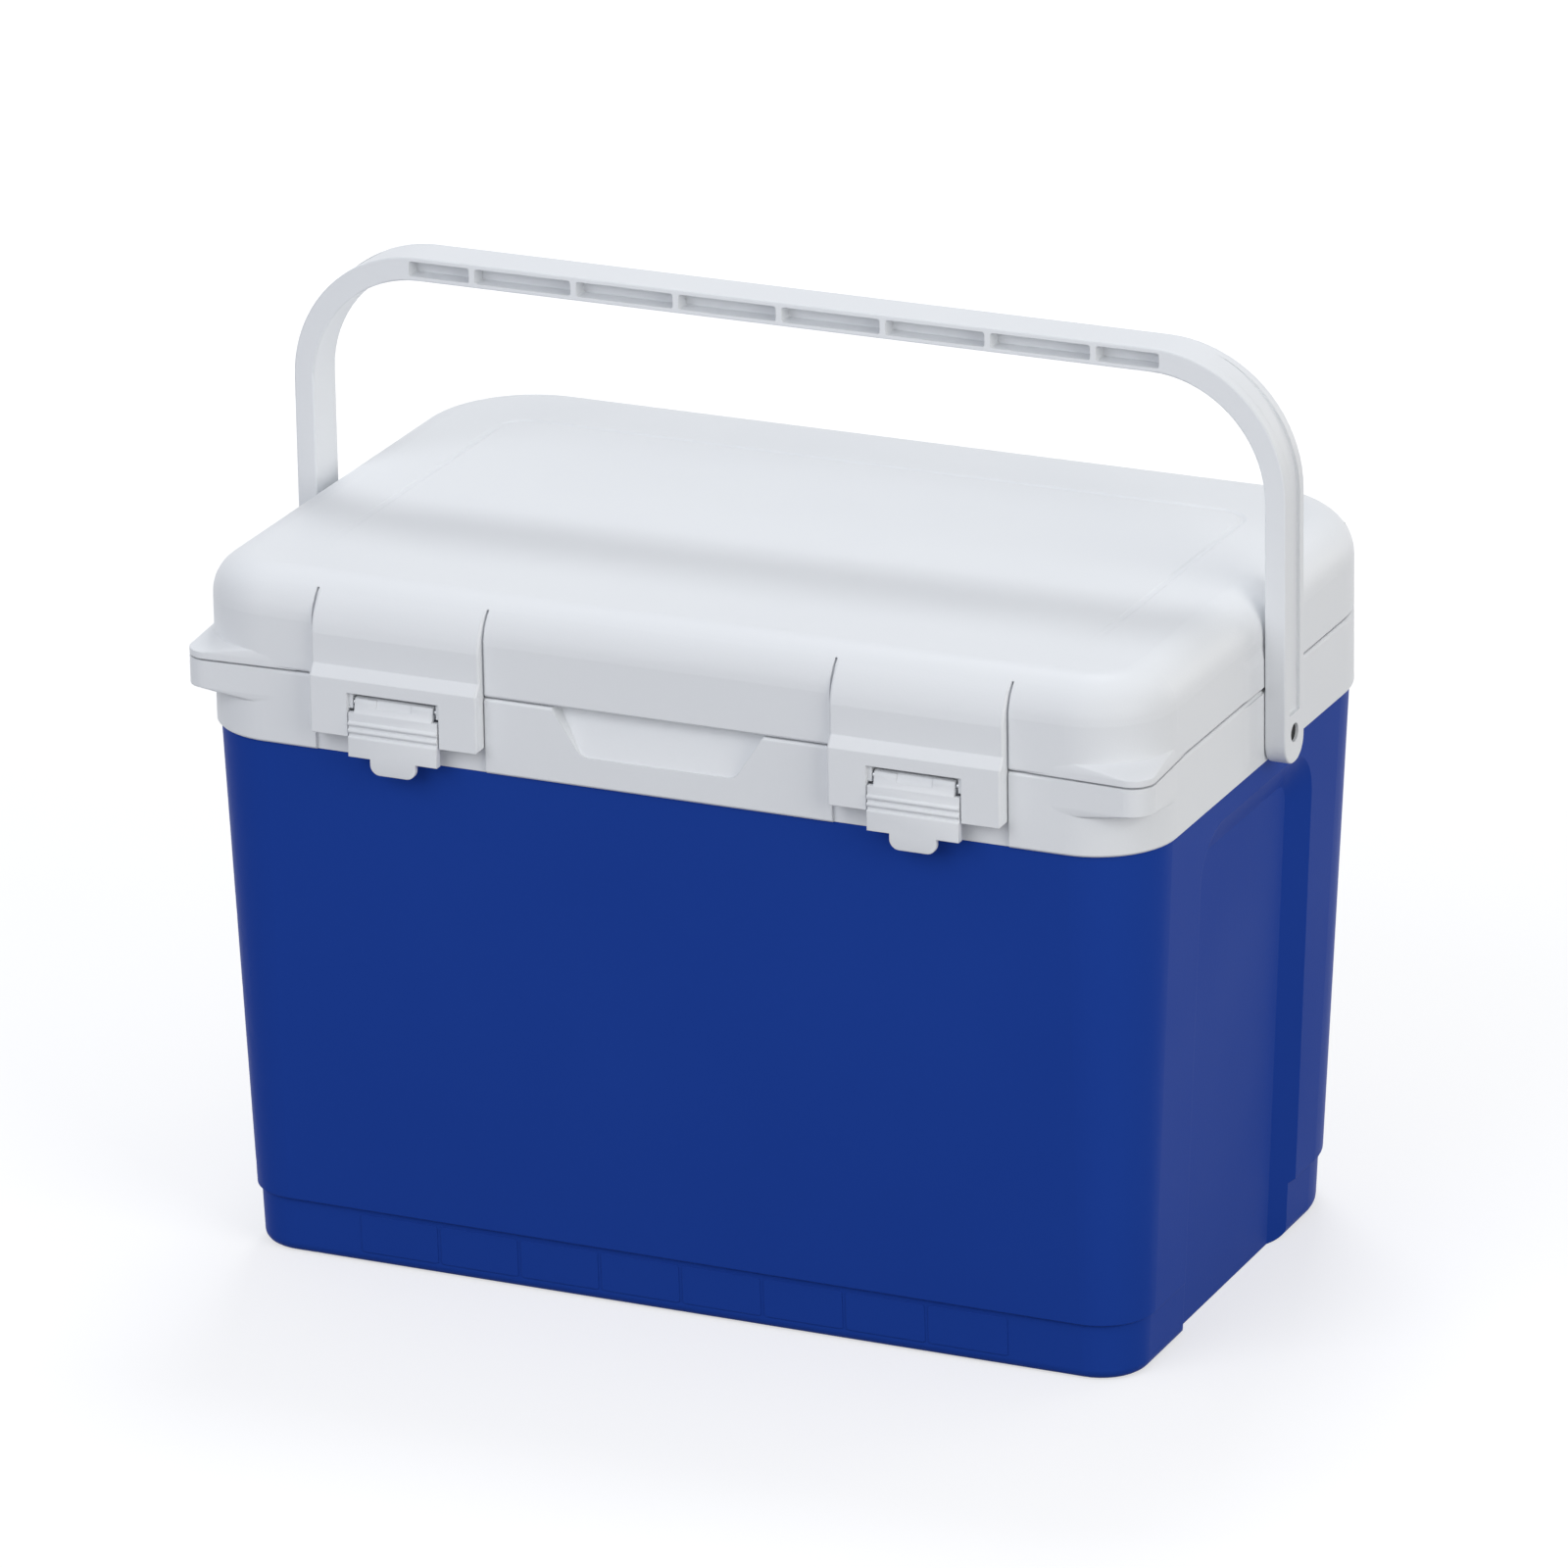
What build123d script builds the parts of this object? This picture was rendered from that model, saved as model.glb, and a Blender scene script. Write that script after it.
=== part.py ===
from build123d import *
import os
from collections import namedtuple
from math import atan, cos, hypot, sin, sqrt

# Insulated vaccine carrier: a foam-filled tub, a white collar, a hinged lid with two latch levers
# and a U-shaped carrying bail.
# Millimetres. X runs along the box, -Y is the front with the latches, +Z is up.
# The origin is the centre of the base, on the floor.

# An outline with one radius at the two front corners and another at the two rear corners.
Plan = namedtuple("Plan", "half_x half_y front rear")

# Standard 0.6 litre coolant packs, which line the load space
PACK_HEIGHT = 190.0
PACK_WIDTH = 120.0
PACK_THICKNESS = 34.0
PACK_GAP = 1.0
PACK_EDGE_RADIUS = 4.0
PACK_NOTCH_WIDTH = 34.0
PACK_NOTCH_HEIGHT = 16.0
PACK_NECK_RADIUS = 8.0
PACK_NECK_HEIGHT = 12.0
CAP_RADIUS = 12.0
CAP_HEIGHT = 14.0
CAP_LIFT = 1.0

# Load space around the packs, and the insulated walls round it
PACKS_PER_WALL = 2
VACCINE_SPACE_WIDTH = 94.0
END_PLAY = 7.5
HEADROOM = 20.0
PLUG_DEPTH = 10.6
LINER_FLOOR = 27.0
LINER_WALL = 2.5
LINER_DRAFT = 8.0
LINER_RADIUS = 20.0
LINER_FLOOR_RADIUS = 14.0
SIDE_WALL = 28.0
LONG_WALL = 37.0
FLANGE_WIDTH = 3.0
FLANGE_THICKNESS = 2.5
FIT = 0.2

# Outline of the collar and of the lid
FRONT_RADIUS = 32.0
REAR_RADIUS = 50.5
RIM_HEIGHT = 30.2
LID_GAP = 0.8
LID_HEIGHT = 37.2
LID_EDGE_RADIUS = 16.5
SEAM_BEVEL = 0.8

# Outer shell of the tub
RIM_OVERHANG = 1.7
BODY_DRAFT = 8.9
BASE_FRONT_RADIUS = 21.0
BASE_REAR_RADIUS = 48.0
BASE_BAND = 23.8
BASE_INSET = 1.7
BASE_STEP_HEIGHT = 1.0
BASE_EDGE_RADIUS = 4.0
SHELL_WALL = 3.0
NECK_HEIGHT = 4.0
NECK_GAP = 0.2

# Shallow recess in each end of the tub
RECESS_DEPTH = 6.0
RECESS_WIDTH = 114.0
RECESS_SHIFT = -8.0
RECESS_BELOW_RIM = 10.4
RECESS_RUN = 13.0
RECESS_RADIUS = 8.0
RECESS_OVERCUT = 2.0
RECESS_BELOW_FLOOR = 40.0

# Collar
COLLAR_WALL = 5.0
DECK_THICKNESS = 5.0
STRIP_SETBACK = 1.5
STRIP_MARGIN = 0.6
SCOOP_TOP_HALF = 44.0
SCOOP_BOTTOM_HALF = 32.0
SCOOP_HEIGHT = 18.3
SCOOP_DEPTH = 7.0
SCOOP_LEDGE = 0.7
SCOOP_RADIUS = 6.0
SCOOP_BACKING = 3.0

# Thin pads under the bail arms, on the collar and on the lid
PAD_HALF_WIDTH = 24.0
PAD_RISE = 0.6
PAD_SLOPE = 5.0
PAD_MARGIN = 7.0
PAD_LID_HEIGHT = 11.6

# Lips at the two front corners
LIP_SWELL = 1.75
LIP_RADIUS = 9.0
LIP_FRONT_TAIL = 15.0
LIP_SIDE_TAIL = 8.0
LIP_BURY = 0.4
RIM_LIP_HEIGHT = 11.0
RIM_LIP_SLOPE = 3.6
LID_LIP_HEIGHT = 2.6
LID_LIP_SLOPE = 3.8

# Lid hinge: the lid's lower rear edge is round about the hinge axis and sits in a cradle of the collar
HINGE_INSET = 26.0
HINGE_HEIGHT = 28.6
CRADLE_HEIGHT = 10.4
CORE_RADIUS = 7.0
EAR_SPACING = 280.0
EAR_WIDTH = 14.0
EAR_RADIUS = 5.5
EAR_SIDE_GAP = 0.5
EAR_END_GAP = 0.6
SLOT_WALL = 2.5
HINGE_PIN_RADIUS = 2.0
HINGE_PIN_INNER = 1.5
HINGE_PIN_RECESS = 4.0
RUNNING_CLEARANCE = 0.08
PRESS_CLEARANCE = 0.02

# Lid
LID_WALL = 3.0
PLATE_THICKNESS = 4.0
PLUG_GAP = 3.0
PAN_WALL = 2.5
GASKET_WIDTH = 3.0
GASKET_INSET = 1.2
GASKET_DEPTH = 2.0
GASKET_CLEARANCE = 0.3
BORDER_HALF_LENGTH = 159.0
BORDER_BACK = 80.0
BORDER_FRONT = -93.0
BORDER_RADIUS = 12.0
BORDER_WIDTH = 3.4
BORDER_FLOOR_WIDTH = 1.0
BORDER_DEPTH = 0.6
BORDER_FADE = 150.0

# Latch hoods of the lid
HOOD_SPACING = 216.8
HOOD_WIDTH = 71.0
HOOD_RISE = 3.0
HOOD_WALL = 3.0
HOOD_TOP_DROP = 2.0
HOOD_BULGE = 2.0
HOOD_EDGE_BEVEL = 0.8
HOOD_SEAM_WIDTH = 0.9
HOOD_SEAM_DEPTH = 1.5
HOOD_SEAM_STOP = 2.0
PANEL_RISE = 3.0
PANEL_TOP_ABOVE_RIM = 2.2
PANEL_FACET = 4.5
PANEL_DROP = 20.7
PANEL_BACK_GAP = 0.3
NOTCH_WIDTH = 38.8
NOTCH_TOP_BELOW_RIM = 3.0
LUG_WIDTH = 4.0
LUG_SETBACK = 1.7
LUG_DEPTH = 3.6
LUG_DROP = 2.4
LUG_GAP = 1.1

# Latch levers
LATCH_PIVOT_DEPTH = 3.4
LATCH_PIVOT_BELOW_RIM = 7.1
LATCH_PIN_RADIUS = 1.25
LATCH_BARREL_RADIUS = 2.35
LEVER_WIDTH = 37.6
LEVER_NECK_WIDTH = 33.0
LEVER_THICKNESS = 2.4
LEVER_PROUD = 0.3
LEVER_TOP = 3.5
LEVER_BOTTOM = 21.2
LEVER_FACE_TOP = 2.3
LEVER_FACE_FRONT = 1.8
LEVER_FACE_SETBACK = 0.8
LEVER_FACE_DROP = 2.3
LEVER_FACE_SLOPE = 1.2
DIMPLE_WIDTH = 14.6
DIMPLE_DEPTH = 0.45
DIMPLE_DROP = 1.2
RIDGE_RISE = 0.8
RIDGE_RADIUS = 1.0
RIDGE_PITCH = 2.95
RIDGE_COUNT = 2
RIDGE_FIRST = 7.9
TAB_WIDTH = 19.2
TAB_LENGTH = 6.2
TAB_THICKNESS = 2.0
TAB_RADIUS = 4.0
HOOK_WIDTH = 30.0
HOOK_HEIGHT = 4.0
HOOK_TOP = 15.0
HOOK_CLEARANCE = 0.3

# Bail
BAIL_PIVOT_BELOW_RIM = 18.5
BAIL_PIVOT_Y = 0.0
BAIL_REACH = 150.3
BAIL_SIDE_GAP = 0.35
ARM_THICKNESS = 8.5
ARM_WIDTH = 19.3
ARM_END = 12.1
ARM_END_RADIUS = 9.2
GRIP_THICKNESS = 9.6
BAIL_OUTER_RADIUS = 55.0
BAIL_INNER_RADIUS = 47.0
GROOVE_WIDTH = 10.0
GROOVE_DEPTH = 1.4
GROOVE_START = 8.0
GROOVE_FADE = 0.6
BAIL_EDGE_RADIUS = 0.7
POCKET_RUN = 315.0
POCKET_HEIGHT = 5.9
POCKET_DEPTH = 7.0
POCKET_RADIUS = 1.0
RIB_PITCH = 43.5
RIB_WIDTH = 2.5
PIVOT_PIN_RADIUS = 3.0
PIVOT_HEAD_RADIUS = 3.6
PIVOT_HEAD_THICKNESS = 3.0
PIVOT_HEAD_RECESS = 1.2
PIVOT_HEAD_GAP = 0.15
BOSS_RADIUS = 7.0
BOSS_LENGTH = 12.0
BOSS_END_WALL = 2.0

# Length and depth of the box that follow from the load space
PACK_PITCH = PACK_WIDTH + PACK_GAP
LOAD_LENGTH = PACKS_PER_WALL * PACK_PITCH + 2 * (PACK_THICKNESS + PACK_GAP + END_PLAY)
LOAD_DEPTH = VACCINE_SPACE_WIDTH + 2 * (PACK_THICKNESS + PACK_GAP)
RIM_LENGTH = LOAD_LENGTH + 2 * (LINER_DRAFT + SIDE_WALL)
RIM_DEPTH = LOAD_DEPTH + 2 * (LINER_DRAFT + LONG_WALL)

# Heights and places that follow from the sizes above
PLUG_BOTTOM = LINER_FLOOR + PACK_HEIGHT + HEADROOM
RIM_TOP = PLUG_BOTTOM + PLUG_DEPTH
RIM_BOTTOM = RIM_TOP - RIM_HEIGHT
LID_BOTTOM = RIM_TOP + LID_GAP
LID_TOP = LID_BOTTOM + LID_HEIGHT
NECK_TOP = RIM_BOTTOM + NECK_HEIGHT
DECK_BOTTOM = RIM_TOP - DECK_THICKNESS
PLATE_TOP = LID_BOTTOM + PLATE_THICKNESS
HINGE_Y = RIM_DEPTH / 2 - HINGE_INSET
HINGE_Z = LID_BOTTOM + HINGE_HEIGHT
PANEL_BOTTOM = RIM_TOP - PANEL_DROP
BAIL_PIVOT_Z = RIM_TOP - BAIL_PIVOT_BELOW_RIM
BAIL_INNER_X = RIM_LENGTH / 2 + PAD_RISE + BAIL_SIDE_GAP
BAIL_OUTER_X = BAIL_INNER_X + ARM_THICKNESS
FRONT_Y = -RIM_DEPTH / 2
HOOD_Y = FRONT_Y - HOOD_RISE
PANEL_Y = HOOD_Y - PANEL_RISE
STRIP_Y = FRONT_Y + STRIP_SETBACK
LATCH_Y = PANEL_Y + LATCH_PIVOT_DEPTH
LATCH_Z = RIM_TOP - LATCH_PIVOT_BELOW_RIM
SIDES = {"left": -1, "right": 1}


def inset(plan, distance):
    """The same outline moved inwards; a negative distance moves it outwards."""
    return Plan(*(size - distance for size in plan))


def between(low, high, share):
    """The outline at a share of the way from one outline to another."""
    return Plan(*(a + (b - a) * share for a, b in zip(low, high)))


RIM = Plan(RIM_LENGTH / 2, RIM_DEPTH / 2, FRONT_RADIUS, REAR_RADIUS)
NECK = inset(RIM, COLLAR_WALL + NECK_GAP)
BODY_TOP = inset(RIM, RIM_OVERHANG)
BODY_BASE = Plan(BODY_TOP.half_x - BODY_DRAFT, BODY_TOP.half_y - BODY_DRAFT,
                 BASE_FRONT_RADIUS, BASE_REAR_RADIUS)
LINER_TOP = Plan(RIM.half_x - SIDE_WALL, RIM.half_y - LONG_WALL, LINER_RADIUS, LINER_RADIUS)
LINER_BASE = Plan(LINER_TOP.half_x - LINER_DRAFT, LINER_TOP.half_y - LINER_DRAFT,
                  LINER_FLOOR_RADIUS, LINER_FLOOR_RADIUS)
FLANGE = inset(LINER_TOP, -LINER_WALL - FLANGE_WIDTH)
PLUG = inset(LINER_TOP, PLUG_GAP)


def body_plan(z):
    """Outline of the drafted tub wall at one height."""
    return between(BODY_BASE, BODY_TOP, z / RIM_BOTTOM)


def liner_plan(z):
    """Outline of the inside of the liner at one height."""
    return between(LINER_BASE, LINER_TOP, (z - LINER_FLOOR) / (RIM_TOP - LINER_FLOOR))


def plan_face(plan, z):
    """Flat face with the outline of a plan, at one height."""
    x, y, front, rear = plan
    corners = [(-x, -y), (x, -y), (x, y), (-x, y)]
    outline = FilletPolyline(*corners, radius=(front, front, rear, rear), close=True)
    return Pos(0, 0, z) * make_face(outline)


def column(plan, bottom, top):
    """Upright solid with one outline all the way up."""
    return extrude(plan_face(plan, bottom), top - bottom)


def bevelled_column(plan, bottom, top):
    """Column with a small bevel round its bottom edge and its top edge."""
    small = inset(plan, SEAM_BEVEL)
    low = bottom + SEAM_BEVEL
    high = top - SEAM_BEVEL
    return tapered(small, bottom, plan, low) + column(plan, low, high) + tapered(plan, high, small, top)


def tapered(low, bottom, high, top):
    """Solid with straight sloping walls between two outlines."""
    return loft([plan_face(low, bottom), plan_face(high, top)], ruled=True)


def block(x, y, z):
    """Box between two X, two Y and two Z values."""
    size = (x[1] - x[0], y[1] - y[0], z[1] - z[0])
    centre = ((x[0] + x[1]) / 2, (y[0] + y[1]) / 2, (z[0] + z[1]) / 2)
    return Pos(*centre) * Box(*size)


def rod(radius, start, end, y, z):
    """Cylinder along X between two X values."""
    return Pos((start + end) / 2, y, z) * Rot(0, 90, 0) * Cylinder(radius, abs(end - start))


def bar(points, width, x=0.0):
    """Profile of (y, z) points extruded along X, centred on one X value."""
    face = make_face(Polyline(*points, close=True))
    placed = Plane(origin=(x - width / 2, 0, 0), x_dir=(0, 1, 0), z_dir=(1, 0, 0)) * face
    return extrude(placed, width, dir=(1, 0, 0))


def both_ends(right):
    """A feature of the right end together with its mirror image at the left end."""
    return right + mirror(right, Plane.YZ)


def tub(margin, bottom, top):
    """Stretch of the drafted tub between two heights, set in by a margin."""
    return tapered(inset(body_plan(bottom), margin), bottom, inset(body_plan(top), margin), top)


def recess_tool(margin):
    """Wedge that cuts the recess of the right end; a margin moves each of its faces outwards."""
    lean = atan(BODY_DRAFT / RIM_BOTTOM)
    wall = Plane(origin=(BODY_BASE.half_x, 0, 0), x_dir=(0, 1, 0), z_dir=(cos(lean), 0, -sin(lean)))
    slope = RECESS_RUN / RECESS_DEPTH
    spread = margin * hypot(1, slope)

    def outline(level):
        grow = spread + level * slope
        half = RECESS_WIDTH / 2 + grow
        top = (RIM_BOTTOM - RECESS_BELOW_RIM) / cos(lean) + grow
        low = -RECESS_BELOW_FLOOR
        corners = [(RECESS_SHIFT - half, low), (RECESS_SHIFT + half, low),
                   (RECESS_SHIFT + half, top), (RECESS_SHIFT - half, top)]
        radius = RECESS_RADIUS + RECESS_RUN + grow
        edge = FilletPolyline(*corners, radius=radius, close=True)
        return wall * Pos(0, 0, level) * make_face(edge)

    return loft([outline(-RECESS_DEPTH - margin), outline(RECESS_OVERCUT)], ruled=True)


def shell_hollow():
    """Space inside the outer shell."""
    low = tub(BASE_INSET + SHELL_WALL, SHELL_WALL, BASE_BAND)
    high = tub(SHELL_WALL, BASE_BAND, RIM_BOTTOM - SHELL_WALL)
    neck = column(inset(NECK, SHELL_WALL), RIM_BOTTOM - SHELL_WALL, NECK_TOP)
    return low + high + neck - both_ends(recess_tool(SHELL_WALL))


def outer_shell():
    """Blue tub: base band, drafted wall, shoulder and neck, with a recess in each end."""
    step_start = BASE_BAND - BASE_STEP_HEIGHT
    band = tub(BASE_INSET, 0, step_start)
    band = fillet(band.faces().sort_by(Axis.Z)[0].edges(), BASE_EDGE_RADIUS)
    step = tapered(inset(body_plan(step_start), BASE_INSET), step_start,
                   body_plan(BASE_BAND), BASE_BAND)
    wall = tub(0, BASE_BAND, RIM_BOTTOM)
    neck = column(NECK, RIM_BOTTOM, NECK_TOP)
    return band + step + wall + neck - both_ends(recess_tool(0)) - shell_hollow()


def liner_block(margin, bottom):
    """Solid with the tapered shape of the liner, from one height up to the rim."""
    return tapered(inset(liner_plan(bottom), margin), bottom, inset(LINER_TOP, margin), RIM_TOP)


def inner_liner():
    """White inner tub with a flange that rests in the collar."""
    tub_outside = liner_block(-LINER_WALL, LINER_FLOOR - LINER_WALL)
    flange = column(FLANGE, RIM_TOP - FLANGE_THICKNESS, RIM_TOP)
    return tub_outside + flange - liner_block(0, LINER_FLOOR)


def body_foam(collar):
    """Insulation between the shell, the liner and the collar."""
    space = shell_hollow() + column(inset(RIM, COLLAR_WALL), NECK_TOP, DECK_BOTTOM)
    taken = liner_block(-LINER_WALL, LINER_FLOOR - LINER_WALL) + pivot_bosses() + scoop_backing()
    return space - taken - collar


def lip_face(z, swell, radius):
    """Plan of the right front lip at one height; it runs out into the front and the end wall."""
    corner = (RIM.half_x + swell, -RIM.half_y - swell)
    front_end = (RIM.half_x - FRONT_RADIUS - LIP_FRONT_TAIL, -RIM.half_y + LIP_BURY)
    side_end = (RIM.half_x - LIP_BURY, -RIM.half_y + FRONT_RADIUS + LIP_SIDE_TAIL)
    inner = (front_end[0], side_end[1])
    face = make_face(Polyline(front_end, corner, side_end, inner, close=True))
    tip = face.vertices().sort_by(Axis((0, 0, 0), (1, -1, 0)))[-1]
    return Pos(0, 0, z) * fillet(tip, radius)


def corner_lips(edge_low, edge_high, fade):
    """Both front lips: a straight edge between two heights that slopes back to the wall at fade."""
    crisp = lip_face(edge_low, LIP_SWELL, LIP_RADIUS)
    edge = extrude(crisp, edge_high - edge_low, dir=(0, 0, 1))
    near = edge_low if fade < edge_low else edge_high
    slope_start = lip_face(near, LIP_SWELL, LIP_RADIUS)
    slope_end = lip_face(fade, -LIP_BURY, FRONT_RADIUS)
    slope = loft([slope_start, slope_end], ruled=True)
    return both_ends(edge + slope)


def arm_pads(bottom, top, slope_down, slope_up):
    """Thin raised pads on the two end walls, beside the bail arms; their edges slope into the wall."""
    foot_y = PAD_HALF_WIDTH + PAD_SLOPE
    foot_z = (bottom - slope_down, top + slope_up)
    root = block((RIM.half_x - COLLAR_WALL / 2, RIM.half_x), (-foot_y, foot_y), foot_z)

    def outline(x, half, z):
        plane = Plane(origin=(x, 0, 0), x_dir=(0, 1, 0), z_dir=(1, 0, 0))
        corners = [(-half, z[0]), (half, z[0]), (half, z[1]), (-half, z[1])]
        return plane * make_face(Polyline(*corners, close=True))

    face = outline(RIM.half_x + PAD_RISE, PAD_HALF_WIDTH, (bottom, top))
    return both_ends(root + loft([outline(RIM.half_x, foot_y, foot_z), face], ruled=True))


def hinge_ears():
    """Two upright ears of the collar that hold the hinge pins."""
    middle = EAR_SPACING / 2
    x = (middle - EAR_WIDTH / 2, middle + EAR_WIDTH / 2)
    stem = block(x, (HINGE_Y - EAR_RADIUS, HINGE_Y + EAR_RADIUS), (DECK_BOTTOM, HINGE_Z))
    ear = stem + rod(EAR_RADIUS, x[0], x[1], HINGE_Y, HINGE_Z)
    ear -= rod(HINGE_PIN_RADIUS + PRESS_CLEARANCE, x[0], x[1], HINGE_Y, HINGE_Z)
    return both_ends(ear)


def hinge_cradle():
    """Raised rear edge of the collar, hollowed to the round of the lid."""
    rear = block((-RIM.half_x, RIM.half_x), (HINGE_Y, RIM.half_y), (DECK_BOTTOM, RIM_TOP + CRADLE_HEIGHT))
    sill = column(RIM, DECK_BOTTOM, RIM_TOP + CRADLE_HEIGHT) & rear
    return sill - rod(HINGE_HEIGHT + LID_GAP, -RIM.half_x, RIM.half_x, HINGE_Y, HINGE_Z)


def pivot_bosses():
    """Blind bosses inside the collar that take the pins of the bail."""
    outer = RIM.half_x - COLLAR_WALL / 2
    inner = RIM.half_x - COLLAR_WALL - BOSS_LENGTH
    return both_ends(rod(BOSS_RADIUS, inner, outer, BAIL_PIVOT_Y, BAIL_PIVOT_Z))


def pivot_bores():
    """Bores of the bail pins in the collar."""
    inner = RIM.half_x - COLLAR_WALL - BOSS_LENGTH + BOSS_END_WALL
    outer = RIM.half_x + PAD_RISE
    return both_ends(rod(PIVOT_PIN_RADIUS + PRESS_CLEARANCE, inner, outer, BAIL_PIVOT_Y, BAIL_PIVOT_Z))


def scoop_tool():
    """Sloping pocket at the middle of the collar's front, for the fingers that lift the lid."""
    low = RIM_TOP - SCOOP_HEIGHT
    corners = [(-SCOOP_BOTTOM_HALF, low), (SCOOP_BOTTOM_HALF, low),
               (SCOOP_TOP_HALF, RIM_TOP), (-SCOOP_TOP_HALF, RIM_TOP)]
    face = make_face(Polyline(*corners, close=True))
    face = fillet(face.vertices().sort_by(Axis.Y)[:2], SCOOP_RADIUS)
    front = Plane(origin=(0, FRONT_Y - SCOOP_LEDGE, 0), x_dir=(1, 0, 0), z_dir=(0, -1, 0))
    outline = extrude(front * face, SCOOP_LEDGE + SCOOP_DEPTH, dir=(0, 1, 0))
    outline = outline + extrude(front * face, SCOOP_LEDGE, dir=(0, -1, 0))
    wedge = bar([(FRONT_Y - SCOOP_DEPTH, low), (FRONT_Y + SCOOP_LEDGE, low),
                 (FRONT_Y + SCOOP_DEPTH, RIM_TOP), (FRONT_Y - SCOOP_DEPTH, RIM_TOP)], RIM_LENGTH)
    return outline & wedge


def scoop_backing():
    """Thicker wall behind the finger scoop."""
    half = SCOOP_TOP_HALF + SCOOP_BACKING
    y = (FRONT_Y + COLLAR_WALL / 2, FRONT_Y + SCOOP_DEPTH + SCOOP_BACKING)
    z = (RIM_TOP - SCOOP_HEIGHT - SCOOP_BACKING, DECK_BOTTOM)
    return block((-half, half), y, z)


def strip_cuts():
    """Set-back strips of the collar's front, one behind each latch hood."""
    half = HOOD_WIDTH / 2 + STRIP_MARGIN
    middle = HOOD_SPACING / 2
    y = (FRONT_Y - STRIP_SETBACK, STRIP_Y)
    return both_ends(block((middle - half, middle + half), y, (RIM_BOTTOM, RIM_TOP)))


def rim_collar():
    """White collar: skirt, deck, hinge cradle and ears, scoop, lips, pads and pivot bosses."""
    collar = bevelled_column(RIM, RIM_BOTTOM, RIM_TOP)
    collar -= column(inset(RIM, COLLAR_WALL), RIM_BOTTOM, DECK_BOTTOM)
    collar += scoop_backing() + pivot_bosses()
    collar += arm_pads(RIM_BOTTOM + PAD_MARGIN, RIM_TOP - SEAM_BEVEL, PAD_SLOPE, 0)
    collar += corner_lips(RIM_TOP - RIM_LIP_HEIGHT, RIM_TOP, RIM_TOP - RIM_LIP_HEIGHT - RIM_LIP_SLOPE)
    collar += hinge_cradle() + hinge_ears()
    collar -= column(inset(liner_plan(DECK_BOTTOM), -LINER_WALL - FIT), RIM_BOTTOM, RIM_TOP)
    collar -= column(inset(LINER_TOP, -LINER_WALL - FIT), DECK_BOTTOM, RIM_TOP)
    collar -= column(inset(FLANGE, -FIT), RIM_TOP - FLANGE_THICKNESS, RIM_TOP)
    return collar - strip_cuts() - scoop_tool() - pivot_bores()


def lid_block(margin):
    """Lid without its details, with a rounded top edge; a margin makes it smaller on every side."""
    solid = column(inset(RIM, margin), LID_BOTTOM, LID_TOP - margin)
    top_edges = solid.faces().sort_by(Axis.Z)[-1].edges()
    return fillet(top_edges, LID_EDGE_RADIUS - margin)


def rear_corner(radius):
    """Space below and behind the hinge axis that lies outside a radius about it."""
    corner = block((-RIM.half_x, RIM.half_x), (HINGE_Y, RIM.half_y), (LID_BOTTOM, HINGE_Z))
    return corner - rod(radius, -RIM.half_x, RIM.half_x, HINGE_Y, HINGE_Z)


def lid_hollow():
    """Space inside the lid shell, clear of the hinge core and of the housings of the ear slots."""
    hollow = lid_block(LID_WALL) - rear_corner(HINGE_HEIGHT - LID_WALL)
    hollow -= rod(CORE_RADIUS, -RIM.half_x, RIM.half_x, HINGE_Y, HINGE_Z)
    middle = EAR_SPACING / 2
    half = EAR_WIDTH / 2 + EAR_SIDE_GAP + SLOT_WALL
    front = HINGE_Y - EAR_RADIUS - EAR_END_GAP - SLOT_WALL
    housing = block((middle - half, middle + half), (front, RIM.half_y), (PLATE_TOP, LID_TOP))
    return hollow - both_ends(housing)


def hood(side):
    """Latch hood: a proud block that fades into the top edge, with a panel hanging over the collar."""
    x = side * HOOD_SPACING / 2
    edge_y = FRONT_Y + LID_EDGE_RADIUS
    edge_z = LID_TOP - LID_EDGE_RADIUS
    top_z = LID_TOP - HOOD_TOP_DROP
    top_y = edge_y - sqrt(LID_EDGE_RADIUS ** 2 - (top_z - edge_z) ** 2) + LIP_BURY
    inner_y = FRONT_Y + COLLAR_WALL
    back_y = STRIP_Y - PANEL_BACK_GAP
    panel_top = RIM_TOP + PANEL_TOP_ABOVE_RIM
    straight = (HOOD_Y, edge_z - LID_WALL)
    middle = ((HOOD_Y + top_y) / 2 - HOOD_BULGE, (straight[1] + top_z) / 2 + HOOD_BULGE)
    crown = ThreePointArc(straight, middle, (top_y, top_z))
    rest = Polyline((top_y, top_z), (top_y, edge_z - LID_WALL), (inner_y, LID_BOTTOM), (back_y, LID_BOTTOM),
                    (back_y, PANEL_BOTTOM), (PANEL_Y, PANEL_BOTTOM), (PANEL_Y, panel_top),
                    (HOOD_Y, panel_top + PANEL_FACET), straight)
    face = make_face(crown + rest)
    half = HOOD_WIDTH / 2
    start = Plane(origin=(x - half, 0, 0), x_dir=(0, 1, 0), z_dir=(1, 0, 0))
    shape = extrude(start * face, HOOD_WIDTH, dir=(1, 0, 0))
    front = [edge for edge in shape.edges() if edge.center().Y < FRONT_Y - HOOD_EDGE_BEVEL]
    ends = [edge for edge in front if abs(edge.center().X - x) > half - HOOD_EDGE_BEVEL]
    shape = chamfer(ends, HOOD_EDGE_BEVEL)
    shape -= block((x - half + HOOD_WALL, x + half - HOOD_WALL), (PANEL_Y + HOOD_WALL, back_y),
                   (PANEL_BOTTOM, LID_BOTTOM))
    return shape - notch(x) + latch_lugs(x)


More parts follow.
